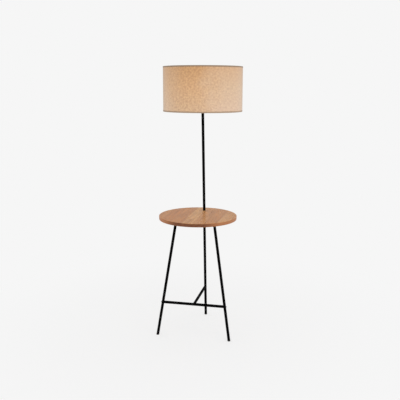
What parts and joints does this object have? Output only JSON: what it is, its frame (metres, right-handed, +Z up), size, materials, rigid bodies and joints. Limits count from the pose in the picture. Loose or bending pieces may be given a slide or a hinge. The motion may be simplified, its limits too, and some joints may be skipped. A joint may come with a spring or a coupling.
{
  "type": "floor lamp",
  "caption": "Floor lamp with a round oak side table on a splayed black steel tripod, a leaning pole through the table and a linen drum shade.",
  "frame": {"origin": "middle of the bounding box, on the floor", "axes": "+Z up, -Y towards the two front legs, +X to the lamp's right as seen from the front"},
  "size_m": [0.4669, 0.4956, 1.55],
  "materials": {
    "oak": "oiled oak",
    "black_steel": "matt black powder coat",
    "zinc_steel": "zinc plated",
    "black_bolt": "black oxide",
    "foot_plastic": "moulded black",
    "rubber": "soft black",
    "lead_sheath": "smooth sheath",
    "holder_plastic": "moulded black",
    "ceramic": "glazed white",
    "nickel": "bright nickel",
    "brass": "bright",
    "white_wire": "white enamel",
    "linen": "linen weave",
    "lining": "translucent white",
    "hem_tape": "folded linen tape",
    "opal_glass": "opal",
    "black_glass": "black glass"
  },
  "bodies": {
    "stand": {"table_top": "oak", "front_left_leg": "black_steel", "front_right_leg": "black_steel", "rear_leg": "black_steel", "upper_pole": "black_steel", "front_left_plate": "black_steel", "front_right_plate": "black_steel", "rear_plate": "black_steel", "rear_stud": "zinc_steel", "plate_screws": "zinc_steel", "leg_bushes": "zinc_steel", "pole_bushes": "zinc_steel", "pole_nipple": "zinc_steel", "seat_ring": "black_steel", "stretcher_bar": "black_steel", "stretcher_brace": "black_steel", "stretcher_inserts": "zinc_steel", "stretcher_bolts": "black_bolt", "front_left_foot": "foot_plastic", "front_right_foot": "foot_plastic", "rear_foot": "foot_plastic", "cord_grommet": "rubber", "inner_lead": "lead_sheath", "holder_nipple": "zinc_steel", "holder_cap": "holder_plastic", "holder_shell": "holder_plastic", "holder_insert": "ceramic", "screw_shell": "nickel", "centre_contact": "brass", "terminal_screws": "brass", "shade_ring": "holder_plastic", "shade_hub": "white_wire", "spider_arm_1": "white_wire", "spider_arm_2": "white_wire", "spider_arm_3": "white_wire", "shade_lower_wire": "white_wire", "shade_upper_wire": "white_wire", "shade_fabric": "linen", "shade_lining": "lining", "shade_lower_hem": "hem_tape", "shade_upper_hem": "hem_tape", "bulb_glass": "opal_glass", "bulb_cap": "nickel", "bulb_insulator": "black_glass", "bulb_contact": "brass"},
    "switch": {"switch_knob": "holder_plastic", "switch_spindle": "zinc_steel"}
  },
  "joints": [
    {"name": "switch_turn", "type": "hinge", "parent": "stand", "child": "switch", "pos_m": [0.00848, 0.02282, 1.3415], "axis": [1, 0, 0], "continuous": true}
  ]
}
